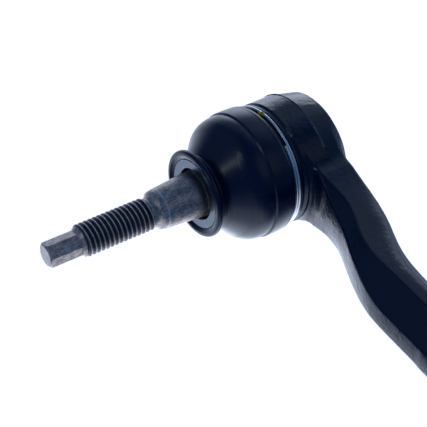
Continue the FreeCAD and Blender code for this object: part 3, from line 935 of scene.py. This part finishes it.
# ---------------------------------------------------------------- the dust boot, one skin in two meshes that meet at SPLIT
SPLIT = 17.03
outer, fo = trace([
    (20.0, 1.72, 0.25), (22.0, 1.72, 0.3), (22.0, 2.95, 0.2), (21.5, 3.03, 0.2), (21.5, 5.7, 0.2), (22.35, 5.85, 0.3),
    ("a", (23.05, 6.6), (23.35, 8.2)), ("a", (23.5, 11.5), (23.42, 14.40), 0.60), (22.86, 14.86, 0.10),
    ("a", (22.8, 17.2), (22.2, 19.6)), ("a", (21.2, 21.3), (19.4, 23.15)), (15.0, 27.3), ("a", (13.6, 28.4), (12.75, 29.1)),
    (13.3, 29.45, 0.3), (13.7, 29.9, 0.4), (13.7, 30.45, 0.4), (13.3, 30.88, 0.25), (12.6, 30.9, 0.25), (12.6, 31.72, 0.2), (15.3, 31.74, 0.2),
    ("a", (15.85, 32.1), (16.0, 33.0)), ("a", (15.8, 33.65), (15.2, 33.95)), (14.4, 34.0, 0.4), (13.5, 33.6, 0.3), (12.9, 33.2, 0.15),
    (12.9, 31.9, 0.1), (10.4, 31.9, 0.15), (10.4, 25.6, 0.2), (12.6, 25.4, 0.4), (13.9, 25.8, 0.6), (18.3, 21.7),
    ("a", (20.1, 19.8), (20.9, 17.2)), ("a", (21.35, 14.5), (21.55, 11.5)), (21.5, 8.6), ("a", (21.3, 7.0), (20.7, 6.2)), (20.0, 5.9, 0.3)])
loop = soften(outer, fo, 0.2, True, 5)
loop = densify(loop, True, 0.09, 0.55)
# cut the loop where it crosses SPLIT, once outside and once inside
pts = [tuple(q) for q in loop]
cutp = []
i = 0
while i < len(pts):
    a, b = pts[i], pts[(i + 1) % len(pts)]
    if (a[1] - SPLIT) * (b[1] - SPLIT) < 0:
        t = (SPLIT - a[1]) / (b[1] - a[1])
        pts.insert(i + 1, (a[0] + t * (b[0] - a[0]), SPLIT))
        i += 1
    i += 1
on = [i for i, q in enumerate(pts) if abs(q[1] - SPLIT) < 1e-9]
assert len(on) == 2, on
iu, il = on                                  # outer crossing first
upper = pts[iu:il + 1]
lower = pts[il:] + pts[:iu + 1]


def sag(r, z, a):
    """The moulding is never perfectly round: slow waves a few hundredths high, none where the wires hold it."""
    w = math.sin(max(0.0, min(1.0, (z - 6.5) / 8.0)) * math.pi / 2) * max(0.0, min(1.0, (28.0 - z) / 5.0))
    return w * (0.040 * np.sin(2 * a + 0.7) + 0.025 * np.sin(3 * a + 2.1 + z * 0.12) + 0.012 * np.sin(7 * a + z * 0.35))


whole = revolve("boot_whole", pts, 224, True, sag)
vn = np.zeros(len(whole.data.vertices) * 3, np.float32)
whole.data.vertices.foreach_get("normal", vn)
vn = vn.reshape(-1, 3)
wco = np.array([v.co for v in whole.data.vertices])
bpy.data.objects.remove(whole)
look = {}
for k_, co_ in enumerate(wco):
    look[tuple(np.round(co_ * 1e6).astype(int))] = k_


def boot_half(name, prof):
    ob = revolve(name, prof, 224, True, sag)
    me = ob.data
    # the cap's inner row of faces is flat; everywhere else the normals are the whole skin's, so the two halves meet unseen
    nrm = []
    for v in me.vertices:
        k_ = look.get(tuple(np.round(np.array(v.co) * 1e6).astype(int)))
        nrm.append(tuple(vn[k_]) if k_ is not None else tuple(v.normal))
    me.normals_split_custom_set_from_vertices(nrm)
    dress(ob, "boot_rubber")
    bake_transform(ob)
    return ob


boot_low = boot_half("dust_boot_skirt", lower)
boot_up = boot_half("dust_boot_dome", upper)
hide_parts("dust_boot")
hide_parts("dust_boot")


# ---------------------------------------------------------------- the base ring: a spring wire of one and a half turns
def tube(name, path, rad, sides=16):
    path = np.array(path, float)
    tan = np.gradient(path, axis=0)
    tan /= np.linalg.norm(tan, axis=1)[:, None]
    V, F, prev = [], [], None
    up = np.array([0, 0, 1.0])
    caps = []
    rads = np.full(len(path), rad)
    stations = []
    L = len(path)
    # rounded cut ends: two extra rings at each end
    ext = [(0, -0.00, 0.80), (0, 0.06, 0.94)]
    for i in range(L):
        stations.append((path[i], tan[i], rad))
    first = [(path[0] - tan[0] * 0.10, tan[0], rad * 0.78), (path[0] - tan[0] * 0.05, tan[0], rad * 0.93)]
    last = [(path[-1] + tan[-1] * 0.05, tan[-1], rad * 0.93), (path[-1] + tan[-1] * 0.10, tan[-1], rad * 0.78)]
    for p, t, r in first + stations + last:
        side = np.cross(t, up)
        side /= np.linalg.norm(side)
        u2 = np.cross(side, t)
        s = len(V)
        for j in range(sides):
            a = 2 * math.pi * j / sides
            V.append(p + r * (math.cos(a) * side + math.sin(a) * u2))
        cur = list(range(s, s + sides))
        if prev is None:
            V.append(p)
            caps.append((len(V) - 1, cur, False))
        else:
            for j in range(sides):
                k = (j + 1) % sides
                F.append((prev[j], prev[k], cur[k], cur[j]))
        prev = cur
    V.append(path[-1] + tan[-1] * 0.10)
    caps.append((len(V) - 1, prev, True))
    for c, ring, end in caps:
        for j in range(sides):
            k = (j + 1) % sides
            F.append((c, ring[j], ring[k]) if end else (c, ring[k], ring[j]))
    return outward(make_object(name, V, F))


path = []
TURNS = 1.46
for q in np.arange(0, TURNS * 360 + 0.1, 2.0):
    az = 57.0 - q                        # from the visible end, the front turn first
    t = max(0.0, min(1.0, (-az - 45) / 170.0))
    t = t * t * (3 - 2 * t)
    z = 5.08 - 1.06 * t
    r = 22.08 + 0.02 * math.sin(math.radians(3 * az))
    path.append((r * math.cos(math.radians(az)), r * math.sin(math.radians(az)), z))
wire = tube("boot_base_wire_ring", path, 0.5, 20)
sharpen(wire, 40)
place(wire, "housing", "boot_base_ring", "ring_wire", "ring_wire")

# a dab of inspection paint on the wire
Vp, Fp = [], []
m_, n_ = 18, 20
for i in range(m_ + 1):
    s = -1 + 2 * i / m_
    az = math.radians(97.6 + s * 4.3)
    env = math.sqrt(max(0.0, 1 - abs(s) ** 2.6))
    wob = 1 + 0.16 * math.sin(5.1 * s + 0.8) + 0.10 * math.sin(11 * s)
    for j in range(n_):
        b = 2 * math.pi * j / n_
        w = (0.60 if math.cos(b) > 0 else 0.52) * env * wob + 0.02
        hgt = (0.95 if math.sin(b) > 0 else 0.75) * env * wob + 0.02
        r = 22.08 + w * math.cos(b)
        z = 4.28 + 0.15 * s + hgt * math.sin(b)
        Vp.append((r * math.cos(az), r * math.sin(az), z))
for i in range(m_):
    for j in range(n_):
        k = (j + 1) % n_
        Fp.append((i * n_ + j, i * n_ + k, (i + 1) * n_ + k, (i + 1) * n_ + j))
Fp.append(tuple(range(n_ - 1, -1, -1)))
Fp.append(tuple(range(m_ * n_, m_ * n_ + n_)))
dab = outward(make_object("paint_dab", Vp, Fp))
dress(dab, "paint")
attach(dab, "housing")

# ---------------------------------------------------------------- neck pieces and cover plate
p, f_ = trace([(9.44, 25.5), (10.3, 25.5), (10.3, 32.0), (12.8, 32.0), (12.8, 33.15), (12.65, 33.3), (9.74, 33.3, 0.25), (9.44, 33.0)])
ins = revolve("boot_neck_insert_ring", densify(soften(p, f_, 0.10, True, 4), True, 0.05, 0.6), 160, True)
sharpen(ins, 40)
place(ins, "boot_neck", "boot_neck_insert", "insert_steel", "insert_steel")

circ = [(13.08 + 0.34 * math.cos(a), 31.3 + 0.34 * math.sin(a)) for a in np.linspace(0, 2 * math.pi, 17)[:-1]]
nring = revolve("boot_neck_wire_ring", circ, 192, True)
place(nring, "boot_neck", "boot_neck_ring", "neck_wire", "neck_wire")

p, f_ = trace([(0, -16.2), (11.4, -16.2, 0.8), (12.6, -17.3, 0.7), (15.0, -17.3, 0.4), (15.4, -16.78, 0.2), (17.95, -16.78, 0.15), (17.95, -14.82, 0.15), (0, -14.82)])
plate = revolve("pressed_cover_plate", densify(soften(p, f_, 0.2, False, 5), False, 0.1, 0.8), 160, False)
sharpen(plate, 40)
place(plate, "housing", "cover_plate", "cover_steel", "cover_steel")

for node, key in (("upper_bearing_shell", "bearing_plastic"), ("lower_bearing_shell", "bearing_plastic"), ("preload_disc_spring", "spring_steel")):
    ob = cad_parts[node]
    ob.data.materials.clear()
    ob.data.materials.append(MATS[key])

# ---------------------------------------------------------------- camera
cam_d = bpy.data.cameras.new("camera")
cam_d.lens = 117.8
cam_d.sensor_width = 36.0
cam_d.clip_start, cam_d.clip_end = 0.01, 30
cam = bpy.data.objects.new("camera", cam_d)
scene.collection.objects.link(cam)
R = Vector((0.5666, 0.0660, -0.8214)).normalized()
B_ = Vector((0.5722, 0.6857, 0.4498)).normalized()
U = B_.cross(R).normalized()
R = U.cross(B_).normalized()
cam.matrix_world = Matrix((
    (R.x, U.x, B_.x, 0.2853), (R.y, U.y, B_.y, 0.3281), (R.z, U.z, B_.z, 0.2483), (0, 0, 0, 1)))
scene.camera = cam

# ---------------------------------------------------------------- studio: pale floor, a pale cyclorama of light on one side, dark flags on the other
RIGHT, DOWN, AWAY = R, -U, -B_
world = bpy.data.worlds.new("studio")
scene.world = world
world.use_nodes = True
wt = world.node_tree
wt.nodes.clear()


def wn(kind, **kw):
    x = wt.nodes.new(kind)
    for k, v in kw.items():
        setattr(x, k, v)
    return x


wco_ = wn("ShaderNodeTexCoord").outputs["Generated"]


def along(v):
    x = wn("ShaderNodeVectorMath", operation="DOT_PRODUCT")
    wt.links.new(wco_, x.inputs[0])
    x.inputs[1].default_value = tuple(Vector(v).normalized())
    return x.outputs["Value"]


def step(s, a, b, to=1.0):
    x = wn("ShaderNodeMapRange", interpolation_type="SMOOTHSTEP")
    x.inputs["From Min"].default_value = a
    x.inputs["From Max"].default_value = b
    x.inputs["To Min"].default_value = 0.0
    x.inputs["To Max"].default_value = to
    wt.links.new(s, x.inputs["Value"])
    return x.outputs["Result"]


def wmath(op, a, b):
    x = wn("ShaderNodeMath", operation=op)
    for s, v in zip(x.inputs, (a, b)):
        if isinstance(v, (int, float)):
            s.default_value = v
        else:
            wt.links.new(v, s)
    return x.outputs[0]


def dirof(x, y, z):
    return RIGHT * x + DOWN * y + AWAY * z


def glow(weight, colour):
    x = wn("ShaderNodeVectorMath", operation="SCALE")
    x.inputs[0].default_value = colour
    wt.links.new(weight, x.inputs["Scale"])
    return x.outputs["Vector"]


def plus(a, b):
    x = wn("ShaderNodeVectorMath", operation="ADD")
    wt.links.new(a, x.inputs[0])
    if isinstance(b, tuple):
        x.inputs[1].default_value = b
    else:
        wt.links.new(b, x.inputs[1])
    return x.outputs["Vector"]


PALE = (0.91, 1.0, 1.19)


def lamp(bearing, lift, lo, hi, power, colour):
    """A soft panel of light: bearing is degrees to the right of straight ahead, lift is degrees above level, lo and hi are its half angles in degrees (full inside lo, gone at hi)."""
    b, e = math.radians(bearing), math.radians(lift)
    d = dirof(math.cos(e) * math.sin(b), -math.sin(e), math.cos(e) * math.cos(b))
    return glow(step(along(d), math.cos(math.radians(hi)), math.cos(math.radians(lo)), power), colour)


# straight ahead, with a dark flag on its right half
b, e = math.radians(22), math.radians(18)
flag = wmath("SUBTRACT", 1.0, step(along(dirof(math.cos(e) * math.sin(b), -math.sin(e), math.cos(e) * math.cos(b))), 0.90, 0.985, 0.80))
ahead = wmath("MULTIPLY", step(along(AWAY), 0.22, 1.0, 1.05), flag)
sky = plus(glow(ahead, PALE), (0.022, 0.062, 0.160))
sky = plus(sky, lamp(-2, -36, 15, 50, 0.68, PALE))
sky = plus(sky, lamp(-12, -20, 4, 22, 0.60, PALE))
sky = plus(sky, lamp(-10, -78, 8, 44, 0.80, PALE))
sky = plus(sky, lamp(-58, -10, 6, 20, 0.30, PALE))
sky = plus(sky, lamp(10, 49, 6, 22, 1.00, PALE))
sky = plus(sky, lamp(20, 72, 5, 42, 0.16, (0.80, 1.0, 1.30)))
sky = plus(sky, lamp(85, 62, 5, 30, 0.12, (0.85, 1.0, 1.25)))
sky = plus(sky, lamp(-120, 32, 5, 45, 0.06, (0.70, 1.0, 1.45)))
sky = plus(sky, lamp(104, 37, 4, 18, 0.08, (0.50, 1.0, 1.80)))
sky = plus(sky, lamp(122, 62, 4, 20, 0.08, (0.50, 1.0, 1.80)))
sky = plus(sky, lamp(-56, -28, 4, 16, 0.40, PALE))
sky = plus(sky, lamp(-34, -7, 4, 14, 0.30, PALE))
sky = plus(sky, lamp(-140, -60, 5, 24, 0.14, (0.80, 1.0, 1.30)))
sky = plus(sky, lamp(135, 14, 4, 27, 0.14, (1.00, 1.0, 1.10)))
sky = plus(sky, lamp(80, 26, 4, 18, 0.40, (0.55, 1.0, 1.60)))
bg = wn("ShaderNodeBackground")
wt.links.new(sky, bg.inputs["Color"])
bgc = wn("ShaderNodeBackground")
bgc.inputs["Color"].default_value = (1, 1, 1, 1)
bgc.inputs["Strength"].default_value = 1.05
lp = wn("ShaderNodeLightPath")
mx = wn("ShaderNodeMixShader")
wt.links.new(lp.outputs["Is Camera Ray"], mx.inputs[0])
wt.links.new(bg.outputs[0], mx.inputs[1])
wt.links.new(bgc.outputs[0], mx.inputs[2])
wo = wn("ShaderNodeOutputWorld")
wt.links.new(mx.outputs[0], wo.inputs["Surface"])

# the floor, far enough down to leave the main view clean
bm = bmesh.new()
bmesh.ops.create_grid(bm, x_segments=48, y_segments=48, size=6.0)
for v in bm.verts:
    v.co.z = -0.105
me = bpy.data.meshes.new("floor")
bm.to_mesh(me)
bm.free()
floor = bpy.data.objects.new("floor", me)
scene.collection.objects.link(floor)
fm = bpy.data.materials.new("pale_floor")
fm.use_nodes = True
ft = fm.node_tree
fb = next(x for x in ft.nodes if x.type == "BSDF_PRINCIPLED")
fn = ft.nodes.new("ShaderNodeTexNoise")
fn.inputs["Scale"].default_value = 2.0
fr = ft.nodes.new("ShaderNodeValToRGB")
fr.color_ramp.elements[0].color = (0.90, 0.90, 0.90, 1)
fr.color_ramp.elements[1].color = (0.93, 0.93, 0.93, 1)
ft.links.new(fn.outputs["Fac"], fr.inputs["Fac"])
ft.links.new(fr.outputs["Color"], fb.inputs["Base Color"])
fb.inputs["Roughness"].default_value = 0.9
fb.inputs["Emission Color"].default_value = (1, 1, 1, 1)
fb.inputs["Emission Strength"].default_value = 0.84
floor.data.materials.append(fm)
floor.visible_glossy = False
floor.visible_diffuse = False


def area(name, direction, dist, size, power, target=(0.03, 0, 0.02), color=(1, 1, 1)):
    d = bpy.data.lights.new(name, "AREA")
    d.shape = "DISK"
    d.size = size
    d.energy = power
    d.color = color
    o = bpy.data.objects.new(name, d)
    scene.collection.objects.link(o)
    dv = Vector(direction).normalized()
    o.location = Vector(target) + dv * dist
    o.rotation_mode = "QUATERNION"
    o.rotation_quaternion = dv.to_track_quat("Z", "Y")
    return o


strip = area("overhead_strip", dirof(-0.72, -0.03, -0.69), 0.95, 0.36, 0.46, (0, 0, 0.02), (0.90, 0.97, 1.12))
strip.data.shape = "RECTANGLE"
strip.data.size, strip.data.size_y = 0.80, 0.09
zax = dirof(-0.72, -0.03, -0.69).normalized()
xax = dirof(0.81, -0.58, 0.0)
xax = (xax - zax * xax.dot(zax)).normalized()
yax = zax.cross(xax)
strip.rotation_quaternion = Matrix((xax, yax, zax)).transposed().to_quaternion()

scene.view_settings.view_transform = "Standard"
scene.view_settings.look = "None"
scene.view_settings.exposure = 0.0
scene.view_settings.gamma = 1.0
